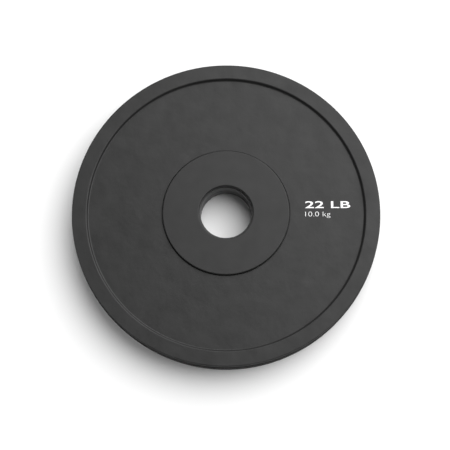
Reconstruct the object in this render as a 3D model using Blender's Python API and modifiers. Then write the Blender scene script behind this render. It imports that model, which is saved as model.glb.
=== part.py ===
"""A weight plate of 10 kg for a barbell sleeve of about 50 mm.

A cast-iron core is closed in two rubber covers that meet in a band round the sidewall. Pegs on the
covers fill the core's windows, so the rubber can't creep round the iron. A steel disc is let into each
face round the bore, and traps a flanged half bush in the core. Every part but the core is one pattern
used twice, once as made and once turned over.

Metres, +Z up. The plate lies on its back face: Z = 0 is the floor, the Z axis is the bore's axis, and
+X points to the weight mark on the front.
"""

import math

import bpy
from mathutils import Vector

# The plate
THICKNESS = 0.0320  # from rim face to rim face
SIDEWALL_DIAMETER = 0.3050
BORE_DIAMETER = 0.0506

# Both faces
RIM_WIDTH = 0.0150  # flat rim, from the sidewall to the lip of its step
STEP_RUN = 0.0002  # what the step from rim to web takes up across the face
WEB_RECESS = 0.0030  # web below the rim
HUB_DIAMETER = 0.1258
HUB_RISE = 0.0028  # hub disc above the web
HUB_INSET = 0.0006  # hub disc below the web
HUB_SEAM = 0.0004  # open joint round the disc's edge
HUB_HOLE_MARGIN = 0.0012  # hub hole outside the bore

# The band round the sidewall, half of it on each cover
BAND_WIDTH = 0.0070
BAND_PROUD = 0.0006

# Rubber over the core
WEB_COVER = 0.0034
RIM_COVER = 0.0050
SIDE_COVER = 0.0075

# Core
CORE_RIM_WIDTH = 0.0085
CORE_EDGE_CHAMFER = 0.0030
CASTING_DRAFT = 0.0012  # how far a cast wall leans
DISC_OVERHANG = 0.0035  # hub disc beyond the core's boss, on the cover's ledge
WINDOW_COUNT = 6
WINDOW_DIAMETER = 0.0220  # at its waist, half way through the core
WINDOW_DRAFT = math.radians(8)

# Half bush
BUSH_WALL = 0.0035
BUSH_FLANGE_WIDTH = 0.0045
BUSH_FLANGE_THICKNESS = 0.0020
BUSH_MOUTH_CHAMFER = 0.0006
BUSH_SEAM_CHAMFER = 0.0004

# Rounded edges
OUTER_EDGE_RADIUS = 0.0006
RIM_LIP_RADIUS = 0.0014
RIM_FOOT_RADIUS = 0.0014
BAND_EDGE_RADIUS = 0.0003
SEAT_EDGE_RADIUS = 0.0003
HUB_EDGE_RADIUS = 0.0010
HUB_HOLE_RADIUS = 0.0013

# Clearances
SEAT_GAP = 0.0003  # between parts that touch
PARTING_GAP = 0.0004  # between the two halves at mid thickness

# How finely round shapes are cut
RING_STEPS = 64
BUSH_STEPS = 48
WINDOW_STEPS = 20
FILLET_STEP = math.radians(45)
SMOOTH_BELOW = math.radians(40)
WELD = 0.000005

# Densities in kilograms per cubic metre, for the weight that is printed
RUBBER_DENSITY = 1200
IRON_DENSITY = 7200
STEEL_DENSITY = 7850

# Heights that several parts share
MIDDLE = THICKNESS / 2
PARTING = MIDDLE + PARTING_GAP / 2
WEB_TOP = THICKNESS - WEB_RECESS
HUB_TOP = WEB_TOP + HUB_RISE
HUB_BOTTOM = WEB_TOP - HUB_INSET
SEAT_TOP = HUB_BOTTOM - SEAT_GAP  # boss, ledge and bush all end here, under the disc
COVER_WEB_UNDERSIDE = WEB_TOP - WEB_COVER
CORE_WEB_TOP = COVER_WEB_UNDERSIDE - SEAT_GAP
CORE_RIM_TOP = THICKNESS - RIM_COVER - SEAT_GAP

# Radii that several parts share
SIDEWALL_RADIUS = SIDEWALL_DIAMETER / 2
BORE_RADIUS = BORE_DIAMETER / 2
HUB_RADIUS = HUB_DIAMETER / 2
BUSH_RADIUS = BORE_RADIUS + BUSH_WALL
FLANGE_RADIUS = BUSH_RADIUS + BUSH_FLANGE_WIDTH
BOSS_RADIUS = HUB_RADIUS - DISC_OVERHANG
CORE_RADIUS = SIDEWALL_RADIUS - SIDE_COVER - SEAT_GAP
CORE_RIM_INSIDE = CORE_RADIUS - CORE_RIM_WIDTH
WINDOW_CIRCLE = (BOSS_RADIUS + CORE_RIM_INSIDE) / 2


def rounded(corners):
    """The outline through corners of (radius, height, fillet), with an arc at each corner that has one."""
    outline = []
    for i, (radius, height, fillet) in enumerate(corners):
        corner = Vector((radius, height))
        back = Vector(corners[i - 1][:2]) - corner
        ahead = Vector(corners[(i + 1) % len(corners)][:2]) - corner
        if fillet == 0:
            outline.append(corner)
            continue
        turn = math.pi - back.angle(ahead)
        longest = min(back.length, ahead.length) / 2
        reach = min(fillet * math.tan(turn / 2), longest)
        back.normalize()
        ahead.normalize()
        middle = corner + (back + ahead).normalized() * reach / math.sin(turn / 2)
        start = corner + back * reach - middle
        end = corner + ahead * reach - middle
        steps = max(2, round(turn / FILLET_STEP))
        for step in range(steps + 1):
            outline.append(middle + start.slerp(end, step / steps) * start.length)
    return outline


def sharp(*points):
    """Corners of (radius, height) with no fillet."""
    return [(radius, height, 0) for radius, height in points]


def moved_out(line, distance):
    """The open line of (radius, height) points moved to its left, every segment by distance."""
    points = [Vector(point) for point in line]
    normals = [(b - a).normalized().orthogonal() for a, b in zip(points, points[1:])]
    moved = [points[0] + normals[0] * distance]
    for point, before, after in zip(points[1:], normals, normals[1:]):
        bisector = (before + after).normalized()
        moved.append(point + bisector * distance / bisector.dot(before))
    moved.append(points[-1] + normals[-1] * distance)
    return [tuple(point) for point in moved]


def turned(name, outline, steps, collection, closed=True):
    """A solid turned round Z from its outline, which runs down its outer side."""
    last = len(outline) - 1
    edges = [(i, i + 1) for i in range(last)]
    if closed:
        edges.append((last, 0))
    mesh = bpy.data.meshes.new(name)
    mesh.from_pydata([(radius, 0, height) for radius, height in outline], edges, [])
    obj = bpy.data.objects.new(name, mesh)
    collection.objects.link(obj)
    screw = obj.modifiers.new("Turn", "SCREW")
    screw.steps = screw.render_steps = steps
    screw.use_merge_vertices = True
    screw.merge_threshold = WELD
    return obj


def joined(obj, operation, pattern):
    """Cuts or adds every object of the collection pattern."""
    boolean = obj.modifiers.new(pattern.name, "BOOLEAN")
    boolean.operation = operation
    boolean.operand_type = "COLLECTION"
    boolean.collection = pattern


def settled(obj, material=None):
    """Applies the modifiers, then shades round faces smooth and keeps true corners sharp."""
    bpy.context.view_layer.update()
    graph = bpy.context.evaluated_depsgraph_get()
    mesh = bpy.data.meshes.new_from_object(obj.evaluated_get(graph))
    obj.modifiers.clear()
    obj.data = mesh
    mesh.name = obj.name
    mesh.shade_smooth()
    mesh.set_sharp_from_angle(angle=SMOOTH_BELOW)
    mesh.materials.clear()
    if material:
        mesh.materials.append(material)
    return obj


def turned_over(obj, name):
    """The same part on the other side: half a turn round X, about the plate's middle."""
    other = obj.copy()
    other.name = name
    other.rotation_euler.x = math.pi
    other.location.z = THICKNESS
    obj.users_collection[0].objects.link(other)
    return other


def window_radius(height):
    """A window opens from its waist at mid thickness towards both faces."""
    return WINDOW_DIAMETER / 2 + abs(height - MIDDLE) * math.tan(WINDOW_DRAFT)


def round_the_core(obj):
    """Copies of obj at the other window places, which share its mesh, and obj at the first."""
    for i in range(WINDOW_COUNT):
        angle = 2 * math.pi * i / WINDOW_COUNT
        copy = obj.copy() if i else obj
        copy.location = (WINDOW_CIRCLE * math.cos(angle), WINDOW_CIRCLE * math.sin(angle), 0)
        if i:
            obj.users_collection[0].objects.link(copy)


def core_surface():
    """The core's upper surface, from its boss over the web and rim and down to mid thickness."""
    return [
        (BOSS_RADIUS, SEAT_TOP),
        (BOSS_RADIUS + CASTING_DRAFT, CORE_WEB_TOP),
        (CORE_RIM_INSIDE - CASTING_DRAFT, CORE_WEB_TOP),
        (CORE_RIM_INSIDE, CORE_RIM_TOP),
        (CORE_RADIUS - CORE_EDGE_CHAMFER, CORE_RIM_TOP),
        (CORE_RADIUS, CORE_RIM_TOP - CORE_EDGE_CHAMFER),
        (CORE_RADIUS, MIDDLE),
    ]


def iron_core(collection, helpers, material):
    """The casting: boss, web, thicker rim, windows, and a counterbore at each end for a bush's flange."""
    bore = BUSH_RADIUS + SEAT_GAP
    counterbore = FLANGE_RADIUS + SEAT_GAP
    counterbore_floor = SEAT_TOP - BUSH_FLANGE_THICKNESS - SEAT_GAP
    upper = [(bore, counterbore_floor), (counterbore, counterbore_floor), (counterbore, SEAT_TOP)]
    upper += core_surface()[:-1]
    lower = [(radius, THICKNESS - height) for radius, height in reversed(upper)]
    core = turned("iron_core", upper + lower, RING_STEPS, collection)

    windows = collection_for("windows", helpers)
    end = CORE_WEB_TOP + WEB_COVER
    spool = [
        (0, end),
        (window_radius(end), end),
        (window_radius(MIDDLE), MIDDLE),
        (window_radius(end), THICKNESS - end),
        (0, THICKNESS - end),
    ]
    round_the_core(helper(turned("window", spool, WINDOW_STEPS, windows, closed=False)))
    joined(core, "DIFFERENCE", windows)
    return settled(core, material)


def cover(collection, helpers, material):
    """The front moulding: seat for the disc, web, rim, half the band, and a peg for each window."""
    seat = HUB_RADIUS + HUB_SEAM
    lip = SIDEWALL_RADIUS - RIM_WIDTH
    band_top = MIDDLE + BAND_WIDTH / 2
    band = SIDEWALL_RADIUS + BAND_PROUD
    outside = [
        (seat, WEB_TOP, SEAT_EDGE_RADIUS),
        (lip - STEP_RUN, WEB_TOP, RIM_FOOT_RADIUS),
        (lip, THICKNESS, RIM_LIP_RADIUS),
        (SIDEWALL_RADIUS, THICKNESS, OUTER_EDGE_RADIUS),
        (SIDEWALL_RADIUS, band_top, 0),
        (band, band_top, BAND_EDGE_RADIUS),
        (band, PARTING, 0),
    ]
    over_core = moved_out(core_surface(), SEAT_GAP)
    ledge = over_core[0][0]
    mouth = over_core[-1][0]
    inside = [(mouth, PARTING)] + over_core[-2:0:-1] + [(ledge, SEAT_TOP), (seat, SEAT_TOP)]
    shell = turned("front_cover", rounded(outside + sharp(*inside)), RING_STEPS, collection)

    pegs = collection_for("pegs", helpers)
    root = COVER_WEB_UNDERSIDE + WEB_COVER / 2
    peg = [
        (0, root),
        (window_radius(root) - SEAT_GAP, root),
        (window_radius(PARTING) - SEAT_GAP, PARTING),
        (0, PARTING),
    ]
    round_the_core(helper(turned("peg", peg, WINDOW_STEPS, pegs, closed=False)))
    joined(shell, "UNION", pegs)
    return settled(shell, material)


def hub_disc(collection, material):
    """A flat steel ring with eased edges. Its hole shows the bush's end."""
    hole = BORE_RADIUS + HUB_HOLE_MARGIN
    corners = [
        (HUB_RADIUS, HUB_TOP, HUB_EDGE_RADIUS),
        (HUB_RADIUS, HUB_BOTTOM, 0),
        (hole, HUB_BOTTOM, 0),
        (hole, HUB_TOP, HUB_HOLE_RADIUS),
    ]
    return settled(turned("front_hub_disc", rounded(corners), RING_STEPS, collection), material)


def half_bush(collection, material):
    """A tube from the disc to mid thickness, with a flange that stops it from going through."""
    flange_bottom = SEAT_TOP - BUSH_FLANGE_THICKNESS
    outline = [
        (BORE_RADIUS + BUSH_MOUTH_CHAMFER, SEAT_TOP),
        (FLANGE_RADIUS, SEAT_TOP),
        (FLANGE_RADIUS, flange_bottom),
        (BUSH_RADIUS, flange_bottom),
        (BUSH_RADIUS, PARTING),
        (BORE_RADIUS + BUSH_SEAM_CHAMFER, PARTING),
        (BORE_RADIUS, PARTING + BUSH_SEAM_CHAMFER),
        (BORE_RADIUS, SEAT_TOP - BUSH_MOUTH_CHAMFER),
    ]
    return settled(turned("front_bush", outline, BUSH_STEPS, collection), material)


def helper(obj):
    """A shape that only cuts or adds: settled, drawn as wire and kept out of renders."""
    settled(obj)
    obj.hide_render = True
    obj.display_type = "WIRE"
    return obj


def collection_for(name, parent):
    collection = bpy.data.collections.new(name)
    parent.children.link(collection)
    return collection


def surface(name, color, roughness, metallic):
    material = bpy.data.materials.new(name)
    material.use_nodes = True
    shader = material.node_tree.nodes["Principled BSDF"]
    shader.inputs["Base Color"].default_value = (*color, 1)
    shader.inputs["Roughness"].default_value = roughness
    shader.inputs["Metallic"].default_value = metallic
    return material


def mass(obj, density):
    """In kilograms, from the closed mesh."""
    obj.data.calc_loop_triangles()
    volume = 0
    for triangle in obj.data.loop_triangles:
        a, b, c = (obj.data.vertices[i].co for i in triangle.vertices)
        volume += a.dot(b.cross(c)) / 6
    return volume * density


def main():
    for obj in list(bpy.data.objects):
        bpy.data.objects.remove(obj)
    scene = bpy.context.scene.collection
    plate = collection_for("weight_plate", scene)
    helpers = collection_for("cutters", scene)

    rubber = surface("black_rubber", (0.045, 0.045, 0.046), 0.62, 0)
    coated_steel = surface("black_coated_steel", (0.045, 0.045, 0.046), 0.55, 0)
    bush_steel = surface("dark_steel", (0.16, 0.16, 0.165), 0.35, 1)
    iron = surface("cast_iron", (0.09, 0.09, 0.095), 0.75, 1)

    parts = {
        iron_core(plate, helpers, iron): IRON_DENSITY,
        cover(plate, helpers, rubber): RUBBER_DENSITY,
        hub_disc(plate, coated_steel): STEEL_DENSITY,
        half_bush(plate, bush_steel): STEEL_DENSITY,
    }
    for obj, density in list(parts.items()):
        if obj.name.startswith("front_"):
            parts[turned_over(obj, obj.name.replace("front_", "back_"))] = density
    for obj, density in parts.items():
        print(f"{obj.name}: {mass(obj, density):.3f} kg")
    print(f"whole plate: {sum(mass(*part) for part in parts.items()):.2f} kg")


main()
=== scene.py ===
# %% [markdown]
# # A rubber-covered weight plate
# A plate like this is made to be dropped and stacked. A cast-iron core gives the weight, two moulded
# rubber covers give it a quiet, soft outside, a steel disc closes each face round the bore, and a
# bush in two halves lines the bore, so that the plate runs on the bar and not on its iron.
#
# The working model of the plate already exists: closed solids at their real size. This lesson dresses
# it for the camera. Each visible part is made again with a finer surface, in the place where its solid
# sits, and every part gets a finish that is worked out by nodes.

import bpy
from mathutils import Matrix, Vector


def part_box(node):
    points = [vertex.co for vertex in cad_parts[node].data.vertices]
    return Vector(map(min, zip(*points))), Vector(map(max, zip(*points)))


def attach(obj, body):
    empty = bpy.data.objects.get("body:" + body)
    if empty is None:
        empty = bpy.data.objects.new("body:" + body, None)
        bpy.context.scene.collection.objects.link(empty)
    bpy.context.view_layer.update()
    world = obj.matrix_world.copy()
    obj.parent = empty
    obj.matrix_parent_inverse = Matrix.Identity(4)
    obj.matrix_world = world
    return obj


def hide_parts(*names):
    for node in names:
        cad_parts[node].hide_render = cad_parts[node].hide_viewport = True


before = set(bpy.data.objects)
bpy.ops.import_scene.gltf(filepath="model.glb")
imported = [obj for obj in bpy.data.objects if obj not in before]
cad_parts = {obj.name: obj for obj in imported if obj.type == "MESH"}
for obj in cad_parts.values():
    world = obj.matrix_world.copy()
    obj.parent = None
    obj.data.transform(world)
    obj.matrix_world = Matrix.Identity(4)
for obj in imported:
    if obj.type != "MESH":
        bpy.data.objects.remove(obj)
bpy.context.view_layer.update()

# %% [markdown]
# Everything below is in metres, because the working model is. A maker thinks of this plate in
# millimetres, so sizes are written as a count of millimetres times MM.
#
# Most sizes don't need to be written at all. The boxes round the solids give them: the cover's box says
# how wide the band is and how thick the plate is, and the disc's box says where its top lies. Only what
# a box can't tell, such as the width of the rim, is given.

# %% Read sizes from the model
import math

import bpy
from mathutils import Matrix, Vector

MM = 0.001


def reach(node):
    """Radius, underside and top of a round node that is centred on the bore."""
    low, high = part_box(node)
    return high.x, low.z, high.z


band_radius, parting, rim_top = reach("front_cover")
hub_radius, hub_underside, hub_top = reach("front_hub_disc")
flange_radius, bush_inner_end, bush_top = reach("front_bush")
thickness = rim_top
print(f"plate {2 * band_radius / MM:.1f} mm over the band, {thickness / MM:.1f} mm thick")

# %% [markdown]
# ## Camera
# The photographer stood a little back from the plate and looked down on it, some 13 degrees off
# straight above. Circles are a gift here: under a camera each circle becomes an ellipse, and the
# ellipses of the rim, the disc and the bore together settle how far away the camera was, how it leaned
# and how long its lens was. The values below come from such a fit.
#
# A camera could be placed by typing angles. A place and a target are easier to check, because both can
# be measured on the plate. The rest of its turn follows from the picture's upright, which runs along
# the plate's Y here, so that the printed mark stands level: three directions make the camera's matrix.

# %% Place the camera
CAMERA_DISTANCE = 1306.4 * MM
CAMERA_LEAN = math.radians(12.94)
CAMERA_SWING = math.radians(2.84)
CAMERA_TARGET = Vector((-0.88 * MM, -13.17 * MM, thickness))
LENS = 105.76

front_centre = Vector((0, 0, thickness))
from_centre = Vector(
    (
        math.sin(CAMERA_SWING) * math.sin(CAMERA_LEAN),
        -math.cos(CAMERA_SWING) * math.sin(CAMERA_LEAN),
        math.cos(CAMERA_LEAN),
    )
)
camera_data = bpy.data.cameras.new("camera")
camera_data.lens = LENS
camera_data.clip_start = 0.05
camera = bpy.data.objects.new("camera", camera_data)
bpy.context.scene.collection.objects.link(camera)
camera.location = front_centre + from_centre * CAMERA_DISTANCE
sight_line = (CAMERA_TARGET - camera.location).normalized()
to_the_right = sight_line.cross(Vector((0, 1, 0))).normalized()
upright = to_the_right.cross(sight_line)
camera.rotation_euler = Matrix((to_the_right, upright, -sight_line)).transposed().to_euler()
bpy.context.scene.camera = camera
print("camera at", tuple(round(x, 3) for x in camera.location))

# %% [markdown]
# ## Floor
# The plate lies on a white sweep. Any white plane would do, as long as its edge never shows, and as
# long as it is not whiter than a real surface can be: paper sends back four fifths of the light.

# %% Lay the floor
FLOOR_HALF_WIDTH = 12.0
FLOOR_WHITE = (0.82, 0.82, 0.82, 1)
PAPER_ROUGHNESS = 0.9
PAPER_SHINE = 0.2

floor_mesh = bpy.data.meshes.new("floor")
w = FLOOR_HALF_WIDTH
corners = [(-w, -w, 0), (w, -w, 0), (w, w, 0), (-w, w, 0)]
floor_mesh.from_pydata(corners, [], [(0, 1, 2, 3)])
floor = bpy.data.objects.new("floor", floor_mesh)
bpy.context.scene.collection.objects.link(floor)
paper = bpy.data.materials.new("paper")
paper.use_nodes = True
paper_shader = paper.node_tree.nodes["Principled BSDF"]
paper_shader.inputs["Base Color"].default_value = FLOOR_WHITE
paper_shader.inputs["Roughness"].default_value = PAPER_ROUGHNESS
paper_shader.inputs["Specular IOR Level"].default_value = PAPER_SHINE
floor_mesh.materials.append(paper)
print("floor laid")

# %% [markdown]
# ## Light
# The shadow tells where the light is. It falls to the lower left and fades out over about its own
# length, so the lamp is very large, stands to the upper right, and shines down at about 50 degrees.
# A sun lamp would give the same light everywhere. A round softbox that is wider than it is far away
# gives the slow change over the plate's face as well, which is brightest on the side near the lamp.
#
# The rest of the light comes from the room. Its walls brighten the shadow on the floor, but the floor
# at the bottom of the bore, which sees only what is straight above, stays dark: the ceiling is dark.
# So the world's light goes with height: pale grey at the horizon, brightest half way up, dark above.

# %% Set up the softbox and the room
KEY_DISTANCE = 5.0
KEY_TURN = math.radians(45)
KEY_HEIGHT = math.radians(50)
KEY_SIZE = 7.2
KEY_POWER = 547
ROOM_BY_HEIGHT = ((0, 0.45), (17, 0.6), (30, 0.95), (40, 0.6), (50, 0.05), (90, 0.02))

key_data = bpy.data.lights.new("softbox", "AREA")
key_data.shape = "DISK"
key_data.size = KEY_SIZE
key_data.energy = KEY_POWER
key = bpy.data.objects.new("softbox", key_data)
bpy.context.scene.collection.objects.link(key)
key.location = Vector(
    (
        KEY_DISTANCE * math.cos(KEY_HEIGHT) * math.cos(KEY_TURN),
        KEY_DISTANCE * math.cos(KEY_HEIGHT) * math.sin(KEY_TURN),
        KEY_DISTANCE * math.sin(KEY_HEIGHT),
    )
)
key.rotation_euler = (-key.location).to_track_quat("-Z", "Y").to_euler()
key.visible_camera = False

world = bpy.data.worlds.new("room")
world.use_nodes = True
room = world.node_tree.nodes["Background"]
sight = world.node_tree.nodes.new("ShaderNodeTexCoord")
height = world.node_tree.nodes.new("ShaderNodeSeparateXYZ")
walls = world.node_tree.nodes.new("ShaderNodeValToRGB")
while len(walls.color_ramp.elements) < len(ROOM_BY_HEIGHT):
    walls.color_ramp.elements.new(0.5)
for stop, (degrees, light) in zip(walls.color_ramp.elements, ROOM_BY_HEIGHT):
    stop.position = math.sin(math.radians(degrees))
    stop.color = (light, light, light, 1)
world.node_tree.links.new(sight.outputs["Generated"], height.inputs["Vector"])
world.node_tree.links.new(height.outputs["Z"], walls.inputs["Fac"])
world.node_tree.links.new(walls.outputs["Color"], room.inputs["Color"])
bpy.context.scene.world = world
bpy.context.scene.view_settings.view_transform = "Standard"
bpy.context.scene.view_settings.look = "None"
print(f"softbox {KEY_SIZE} m across, {KEY_DISTANCE} m away")

# %% [markdown]
# ## How a turned part is drawn
# Covers, discs and bushes are round about one axis. Each could be cut from a cylinder, but a turner
# thinks of the profile: half of a section through the part, which the lathe carries round. So each part
# here is an outline of (radius, height) points, and a Screw modifier does the turning.
#
# No real edge is sharp. The helper below takes an outline's corners, each with the radius of its
# rounding, and puts a small arc there. Rounded edges are what catches the light in the photograph.

# %% Round an outline's corners
ARC_STEP = math.radians(9)
SIDE_SHARE = 0.49  # an arc uses up less than half of the side that it starts on


def rounded(corners):
    """The outline through corners of (radius, height, rounding), with an arc at each rounded corner."""
    outline = []
    for i, (radius, height, rounding) in enumerate(corners):
        corner = Vector((radius, height))
        back = Vector(corners[i - 1][:2]) - corner
        ahead = Vector(corners[(i + 1) % len(corners)][:2]) - corner
        turn = math.pi - back.angle(ahead)
        if rounding == 0 or turn < ARC_STEP:
            outline.append(corner)
            continue
        shorter_side = min(back.length, ahead.length)
        reach_along = min(rounding * math.tan(turn / 2), SIDE_SHARE * shorter_side)
        back.normalize()
        ahead.normalize()
        middle = corner + (back + ahead).normalized() * reach_along / math.sin(turn / 2)
        start = corner + back * reach_along - middle
        end = corner + ahead * reach_along - middle
        steps = math.ceil(turn / ARC_STEP)
        for step in range(steps + 1):
            outline.append(middle + start.slerp(end, step / steps) * start.length)
    return outline


print("an edge of 1 mm gets", math.ceil(math.pi / 2 / ARC_STEP), "facets")

# %% [markdown]
# The Screw modifier turns the outline in many small steps. Its result is taken as a plain mesh, so that
# true corners can be marked sharp while everything round is shaded smooth. Smooth shading alone would
# bend the light on the wide flat faces near every rounded edge. The Weighted Normal modifier gives the
# large faces the last word, so that flat stays flat and only the rounding is round.

# %% Turn a profile into a mesh
TURN_STEPS = 256
SMOOTH_BELOW = math.radians(30)
WELD = 0.001 * MM


def settled(obj):
    """obj with its modifiers carried out on its mesh."""
    bpy.context.view_layer.update()
    graph = bpy.context.evaluated_depsgraph_get()
    mesh = bpy.data.meshes.new_from_object(
        obj.evaluated_get(graph), preserve_all_data_layers=True, depsgraph=graph
    )
    obj.modifiers.clear()
    obj.data = mesh
    mesh.name = obj.name
    return obj


def shaded(obj):
    """obj with round faces smooth, true corners sharp and flat faces flat up to their edges."""
    obj.data.shade_smooth()
    obj.data.set_sharp_from_angle(angle=SMOOTH_BELOW)
    flatten = obj.modifiers.new("flat faces stay flat", "WEIGHTED_NORMAL")
    flatten.keep_sharp = True
    return settled(obj)


def turned(name, outline):
    """A solid of revolution round Z. The outline runs down its outer side and up its inner one."""
    edges = [(i, (i + 1) % len(outline)) for i in range(len(outline))]
    mesh = bpy.data.meshes.new(name)
    mesh.from_pydata([(radius, 0, height) for radius, height in outline], edges, [])
    obj = bpy.data.objects.new(name, mesh)
    bpy.context.scene.collection.objects.link(obj)
    screw = obj.modifiers.new("lathe", "SCREW")
    screw.steps = screw.render_steps = TURN_STEPS
    screw.use_merge_vertices = True
    screw.merge_threshold = WELD
    return shaded(settled(obj))


print(f"a full turn is cut into {TURN_STEPS} steps")

# %% [markdown]
# The plate has no back or front of its own. What sits on the front was made twice, and the second piece
# was turned over. A copy with a Mirror modifier would do for a picture, but half a turn about X is what
# really happens in the workshop, and it keeps the faces pointing outwards.

# %% Turn a part over
def turned_over(obj, name):
    """The same part on the back: half a turn about X, round the middle of the plate."""
    other = bpy.data.objects.new(name, obj.data.copy())
    other.data.name = name
    other.data.transform(Matrix.Translation((0, 0, thickness)) @ Matrix.Rotation(math.pi, 4, "X"))
    bpy.context.scene.collection.objects.link(other)
    return other


print("parts are turned over about a line", round(thickness / 2 / MM, 1), "mm above the floor")

# %% [markdown]
# ## Rubber covers
# The cover is one moulding. From the middle outwards its face has a sharp seat for the steel disc, the
# wide flat web, a soft step up to the rim, and the rim itself. It then runs down the sidewall to a low
# band, where it meets the other cover.
#
# The step is what draws the dark ring near the edge of the plate. It needs three things: a hollow
# foot, a steep wall and a round lip.

# %% Outline of the cover's outside
RIM_WIDTH = 15.0 * MM
STEP_RUN = 0.2 * MM
STEP_HEIGHT = 3.0 * MM
STEP_ROUNDING = 1.5 * MM
RIM_ROUNDING = 0.6 * MM
BAND_PROUD = 0.6 * MM
BAND_HALF_WIDTH = 3.5 * MM
HUB_SEAM = 0.55 * MM

sidewall_radius = band_radius - BAND_PROUD
lip_radius = sidewall_radius - RIM_WIDTH
web_top = rim_top - STEP_HEIGHT
band_top = thickness / 2 + BAND_HALF_WIDTH
seat_radius = hub_radius + HUB_SEAM
cover_outside = [
    (seat_radius, web_top, 0.3 * MM),
    (lip_radius - STEP_RUN, web_top, STEP_ROUNDING),
    (lip_radius, rim_top, STEP_ROUNDING),
    (sidewall_radius, rim_top, RIM_ROUNDING),
    (sidewall_radius, band_top, 0.2 * MM),
    (band_radius, band_top, 0.3 * MM),
    (band_radius, parting, 0.1 * MM),
]
print(f"rim {RIM_WIDTH / MM:.1f} mm wide, {STEP_HEIGHT / MM:.1f} mm above the web")

# %% [markdown]
# Inside, the rubber follows the iron: over the rim of the core, across its web and up to the boss,
# where the disc lies on a ledge. Nobody sees this side, but a cover without it would be an open shell,
# and a visible part is worth having as a whole one.

# %% Outline of the cover's inside
WEB_RUBBER = 3.4 * MM
RIM_RUBBER = 5.0 * MM
SIDE_RUBBER = 7.5 * MM
CORE_RIM_WIDTH = 8.5 * MM
CORE_CHAMFER = 3.0 * MM
DRAFT = 1.2 * MM
DISC_LEDGE = 3.5 * MM
FIT_GAP = 0.3 * MM

core_edge = sidewall_radius - SIDE_RUBBER
core_rim_inside = core_edge - CORE_RIM_WIDTH
rim_underside = rim_top - RIM_RUBBER
web_underside = web_top - WEB_RUBBER
ledge_radius = hub_radius - DISC_LEDGE + FIT_GAP
cover_inside = [
    (core_edge, parting, 0),
    (core_edge, rim_underside - CORE_CHAMFER, 0),
    (core_edge - CORE_CHAMFER, rim_underside, 0),
    (core_rim_inside, rim_underside, 0),
    (core_rim_inside - DRAFT, web_underside, 0),
    (ledge_radius + DRAFT, web_underside, 0),
    (ledge_radius, bush_top, 0),
    (seat_radius, bush_top, 0),
]
front_cover = turned("front_rubber_cover", rounded(cover_outside + cover_inside))
print("cover:", len(front_cover.data.polygons), "faces")

# %% [markdown]
# ## Steel discs
# A flat ring is let into the cover, almost flush with the rim, and its edges are eased so that it does
# not cut. A hair of space all round it shows as a dark circle. A painted line would look the same from
# above, but only a real gap darkens on one side and catches the light on the other.
#
# The hole in the disc is a little wider than the bore, so that a bar touches the bush and not the disc.

# %% Turn the discs
BORE_RADIUS = 25.3 * MM
HOLE_MARGIN = 1.2 * MM
HUB_EDGE = 1.0 * MM
HOLE_EDGE = 1.3 * MM

hub_hole = BORE_RADIUS + HOLE_MARGIN
disc_outline = rounded(
    [
        (hub_radius, hub_top, HUB_EDGE),
        (hub_radius, hub_underside, 0.2 * MM),
        (hub_hole, hub_underside, 0.2 * MM),
        (hub_hole, hub_top, HOLE_EDGE),
    ]
)
front_disc = turned("front_steel_disc", disc_outline)
print("disc:", len(front_disc.data.polygons), "faces")

# %% [markdown]
# ## Bushes
# Each half bush is a tube with a flange. The flange lies in the core, under the disc, and keeps the
# tube from being pushed through. The two tubes meet half way down the bore, in a fine dark line.

# %% Turn the bushes
BUSH_WALL = 3.5 * MM
FLANGE_THICKNESS = 2.0 * MM

bush_outside = BORE_RADIUS + BUSH_WALL
flange_underside = bush_top - FLANGE_THICKNESS
bush_outline = rounded(
    [
        (BORE_RADIUS, bush_top, 0.6 * MM),
        (flange_radius, bush_top, 0.2 * MM),
        (flange_radius, flange_underside, 0.2 * MM),
        (bush_outside, flange_underside, 0),
        (bush_outside, bush_inner_end, 0.2 * MM),
        (BORE_RADIUS, bush_inner_end, 0.4 * MM),
    ]
)
front_bush = turned("front_turned_bush", bush_outline)
print("bush:", len(front_bush.data.polygons), "faces")

# %% [markdown]
# ## The other face
# Both faces of the plate are alike, so that it can go on the bar either way round. The cover, the disc
# and the bush are each copied and turned over. The weight is printed on the front only, and so it is
# made after this step.

# %% Make the back from the front
back_cover = turned_over(front_cover, "back_rubber_cover")
back_disc = turned_over(front_disc, "back_steel_disc")
back_bush = turned_over(front_bush, "back_turned_bush")
print("three parts turned over")

# %% [markdown]
# ## Weight mark
# The weight is printed on the web in white ink: pounds in wide heavy letters, kilograms in small light
# ones below. A picture of the letters could be laid on the rubber. Real letters in a very thin layer of
# ink stay crisp at any distance, and they are part of the model.
#
# Blender comes with one plain font. Its letters are drawn out to a given length, and their strokes are
# made heavier or lighter by moving the outline out or in.

# %% Print the weight
INK = 0.05 * MM
MARK_LEFT = 78.5 * MM
DIGIT_SHARE = 0.73  # a digit's height in a font of size 1


def printed(name, words, baseline, height, length, heavier):
    """Words in ink on the web, with numbers of the given height, drawn out to the given length."""
    letters = bpy.data.curves.new(name, "FONT")
    letters.body = words
    letters.size = height / DIGIT_SHARE
    letters.extrude = INK / 2
    letters.offset = heavier
    letters.resolution_u = 6
    obj = bpy.data.objects.new(name, letters)
    bpy.context.scene.collection.objects.link(obj)
    graph = bpy.context.evaluated_depsgraph_get()
    mesh = bpy.data.meshes.new_from_object(obj.evaluated_get(graph))
    bpy.data.objects.remove(obj)
    obj = bpy.data.objects.new(name, mesh)
    bpy.context.scene.collection.objects.link(obj)
    first = min(vertex.co.x for vertex in mesh.vertices)
    last = max(vertex.co.x for vertex in mesh.vertices)
    mesh.transform(Matrix.Translation((-first, 0, 0)))
    mesh.transform(Matrix.Diagonal((length / (last - first), 1, 1, 1)))
    mesh.transform(Matrix.Translation((MARK_LEFT, baseline, web_top)))
    return obj


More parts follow.
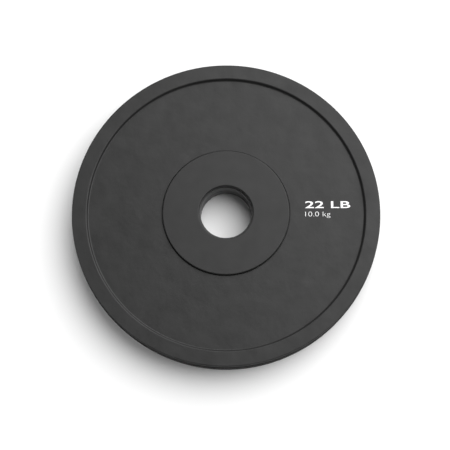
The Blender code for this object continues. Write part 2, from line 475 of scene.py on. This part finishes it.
pounds = printed("weight_in_pounds", "22 LB", 4.5 * MM, 7.2 * MM, 44.6 * MM, 0.1 * MM)
kilograms = printed("weight_in_kilograms", "10.0 kg", -4.0 * MM, 5.2 * MM, 24.8 * MM, -0.12 * MM)
for mark in (kilograms, pounds):
    print(mark.name, tuple(round(x / MM, 1) for x in mark.dimensions), "mm")

# %% [markdown]
# ## Finishes
# Every part here is nearly black, yet no two look the same. What tells them apart is how they shine:
# how rough the surface is, and how it differs from place to place. Pictures of real surfaces could be
# laid on the parts, but a turned part has no good place to cut them open. Noise that is worked out
# from each point's place in space has no seams, and its sizes can be given in millimetres.
#
# The Principled shader does the rest. The helper below keeps one material's nodes together and has one
# short way each to add clouds, to spread them over a range, to tint, to roughen and to emboss. The
# value of a noise texture could be anything from 0 to 1, but nearly all of it lies from 0.3 to 0.7.

# %% A helper for finishes
CLOUD_LOW, CLOUD_HIGH = 0.3, 0.7
LEVEL_SLOPE, WALL_SLOPE = 0.75, 0.45  # height of the surface's normal


class Finish:
    """A material with its Principled shader, and short ways to add and join nodes."""

    def __init__(self, name, color, roughness, metallic=0.0, specular=0.5):
        self.material = bpy.data.materials.new(name)
        self.material.use_nodes = True
        self.tree = self.material.node_tree
        self.shader = self.tree.nodes["Principled BSDF"]
        self.shader.inputs["Base Color"].default_value = (*color, 1)
        self.shader.inputs["Roughness"].default_value = roughness
        self.shader.inputs["Metallic"].default_value = metallic
        self.shader.inputs["Specular IOR Level"].default_value = specular
        point = self.tree.nodes.new("ShaderNodeTexCoord")
        self.place = point.outputs["Object"]
        self.way = point.outputs["Normal"]

    def noise(self, size, detail=2.0, stretch=(1, 1, 1)):
        """Random clouds about size metres across, stretched along an axis by a value above 1."""
        spread = self.tree.nodes.new("ShaderNodeMapping")
        spread.inputs["Scale"].default_value = [1 / (size * s) for s in stretch]
        self.tree.links.new(self.place, spread.inputs["Vector"])
        clouds = self.tree.nodes.new("ShaderNodeTexNoise")
        clouds.inputs["Scale"].default_value = 1
        clouds.inputs["Detail"].default_value = detail
        self.tree.links.new(spread.outputs["Vector"], clouds.inputs["Vector"])
        return clouds.outputs["Fac"]

    def between(self, value, low, high):
        """The clouds of value, spread from low to high."""
        node = self.tree.nodes.new("ShaderNodeMapRange")
        node.inputs["From Min"].default_value = CLOUD_LOW
        node.inputs["From Max"].default_value = CLOUD_HIGH
        node.inputs["To Min"].default_value = low
        node.inputs["To Max"].default_value = high
        self.tree.links.new(value, node.inputs["Value"])
        return node.outputs["Result"]

    def tint(self, value, dark, light):
        """Colour from dark to light over the clouds of value."""
        ramp = self.tree.nodes.new("ShaderNodeValToRGB")
        ramp.color_ramp.elements[0].position = CLOUD_LOW
        ramp.color_ramp.elements[0].color = (*dark, 1)
        ramp.color_ramp.elements[1].position = CLOUD_HIGH
        ramp.color_ramp.elements[1].color = (*light, 1)
        self.tree.links.new(value, ramp.inputs["Fac"])
        self.tree.links.new(ramp.outputs["Color"], self.shader.inputs["Base Color"])

    def rougher_walls(self, value, wall):
        """Roughness from value on level faces, rising to wall where the surface stands upright."""
        facing = self.tree.nodes.new("ShaderNodeSeparateXYZ")
        self.tree.links.new(self.way, facing.inputs["Vector"])
        slope = self.tree.nodes.new("ShaderNodeMath")
        slope.operation = "ABSOLUTE"
        self.tree.links.new(facing.outputs["Z"], slope.inputs[0])
        share = self.tree.nodes.new("ShaderNodeMapRange")
        share.inputs["From Min"].default_value = LEVEL_SLOPE
        share.inputs["From Max"].default_value = WALL_SLOPE
        self.tree.links.new(slope.outputs["Value"], share.inputs["Value"])
        mix = self.tree.nodes.new("ShaderNodeMix")
        mix.inputs["B"].default_value = wall
        self.tree.links.new(share.outputs["Result"], mix.inputs["Factor"])
        self.tree.links.new(value, mix.inputs["A"])
        self.tree.links.new(mix.outputs["Result"], self.shader.inputs["Roughness"])

    def relief(self, value, depth, under=None):
        """Bumps of the given depth in metres, on top of other bumps."""
        bump = self.tree.nodes.new("ShaderNodeBump")
        bump.inputs["Distance"].default_value = depth
        self.tree.links.new(value, bump.inputs["Height"])
        if under:
            self.tree.links.new(under, bump.inputs["Normal"])
        self.tree.links.new(bump.outputs["Normal"], self.shader.inputs["Normal"])
        return bump.outputs["Normal"]


print("finishes are worked out from each point's place on the part")

# %% [markdown]
# ## Moulded rubber
# Rubber this black sends back less than one hundredth of the light as colour. Nearly all that the camera
# sees is a soft shine, so the finish lives in the roughness. Faint clouds about as wide as a thumb come
# from the mould's release agent and from handling. The faces are polished a little by use, and the
# upright walls keep the dull grain of the mould, which is why the side of the plate looks darker.
#
# Two reliefs lie on top of each other: a fine grain, and slow waves left as the rubber shrank in the
# mould. They are bumps in the shading only, because real ones would be far finer than the mesh.

# %% Rubber
BLACK = (0.007, 0.007, 0.007)
DARKEST = (0.0045, 0.0045, 0.0044)
PALEST = (0.0100, 0.0100, 0.0099)
SOFT_SHINE = 0.34
WALL_ROUGHNESS = 0.9

rubber = Finish("moulded_rubber", BLACK, 0.45, specular=SOFT_SHINE)
rubber.tint(rubber.noise(24 * MM, detail=6), DARKEST, PALEST)
polish = rubber.between(rubber.noise(26 * MM, detail=6), 0.405, 0.495)
rubber.rougher_walls(polish, WALL_ROUGHNESS)
fine = rubber.relief(rubber.noise(0.7 * MM, detail=2), 0.02 * MM)
rubber.relief(rubber.noise(16 * MM, detail=3), 0.3 * MM, under=fine)
print("rubber ready")

# %% [markdown]
# ## Coated steel
# The discs are steel under a coat of black paint with a satin shine. Under paint the metal itself is
# not seen, so this is no metallic shader. It is made like the rubber but smoother, with a finer grain
# and smaller clouds, so that the disc and the cover match in tone and still look like two materials.

# %% Coated steel
coated_steel = Finish("coated_steel", BLACK, 0.45, specular=SOFT_SHINE)
coated_steel.tint(coated_steel.noise(20 * MM, detail=6), DARKEST, PALEST)
satin = coated_steel.between(coated_steel.noise(18 * MM, detail=5), 0.41, 0.48)
coated_steel.tree.links.new(satin, coated_steel.shader.inputs["Roughness"])
coated_steel.relief(coated_steel.noise(0.9 * MM, detail=2), 0.012 * MM)
print("coated steel ready")

# %% [markdown]
# ## Bush steel
# The bush is turned on a lathe and blackened. The tool leaves fine rings round the bore. They are noise
# that is stretched sideways and left fine in height, which gives thin bands along the bore's wall.

# %% Bush steel
bush_steel = Finish("turned_steel", (0.012, 0.012, 0.012), 0.4, specular=0.5)
bush_steel.relief(bush_steel.noise(0.25 * MM, detail=3, stretch=(40, 40, 1)), 0.01 * MM)
print("bush steel ready")

# %% [markdown]
# ## Cast iron
# The core is hidden in the covers, and is kept from the working model as it is. It still gets its own
# finish, because a part may be looked at alone: grey metal, rough, with the coarse skin that sand
# leaves on a casting.

# %% Cast iron
cast_iron = Finish("cast_iron", (0.09, 0.09, 0.095), 0.7, metallic=0.8)
cast_iron.tint(cast_iron.noise(6 * MM, detail=6), (0.06, 0.055, 0.05), (0.13, 0.125, 0.12))
cast_iron.relief(cast_iron.noise(1.2 * MM, detail=4), 0.15 * MM)
print("cast iron ready")

# %% [markdown]
# ## Ink
# Screen ink on rubber is never quite even. Where it went on thinner it is a little greyer.

# %% Ink
white_ink = Finish("white_ink", (0.8, 0.8, 0.8), 0.5)
white_ink.tint(white_ink.noise(1.5 * MM, detail=4), (0.74, 0.74, 0.74), (0.86, 0.86, 0.86))
print("ink ready")

# %% [markdown]
# ## Put it together
# Each part gets its finish and rides on the plate's one body, so that it goes where the plate goes. A
# part that redraws a solid of the working model takes its place in the picture. The ink has no solid
# of its own: it only rides along.

# %% Finish and fasten every part
dressed = {
    front_cover: (rubber, "rubber", "front_cover"),
    back_cover: (rubber, "rubber", "back_cover"),
    front_disc: (coated_steel, "hub_coating", "front_hub_disc"),
    back_disc: (coated_steel, "hub_coating", "back_hub_disc"),
    front_bush: (bush_steel, "bush_steel", "front_bush"),
    back_bush: (bush_steel, "bush_steel", "back_bush"),
    kilograms: (white_ink, "white_ink", None),
    pounds: (white_ink, "white_ink", None),
}
for part, (finish, slot, node) in dressed.items():
    part.data.materials.clear()
    part.data.materials.append(finish.material)
    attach(part, "root")
    if node:
        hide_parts(node)
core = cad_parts["iron_core"]
core.data.materials.clear()
core.data.materials.append(cast_iron.material)
print(len(dressed), "parts made, and the core kept")
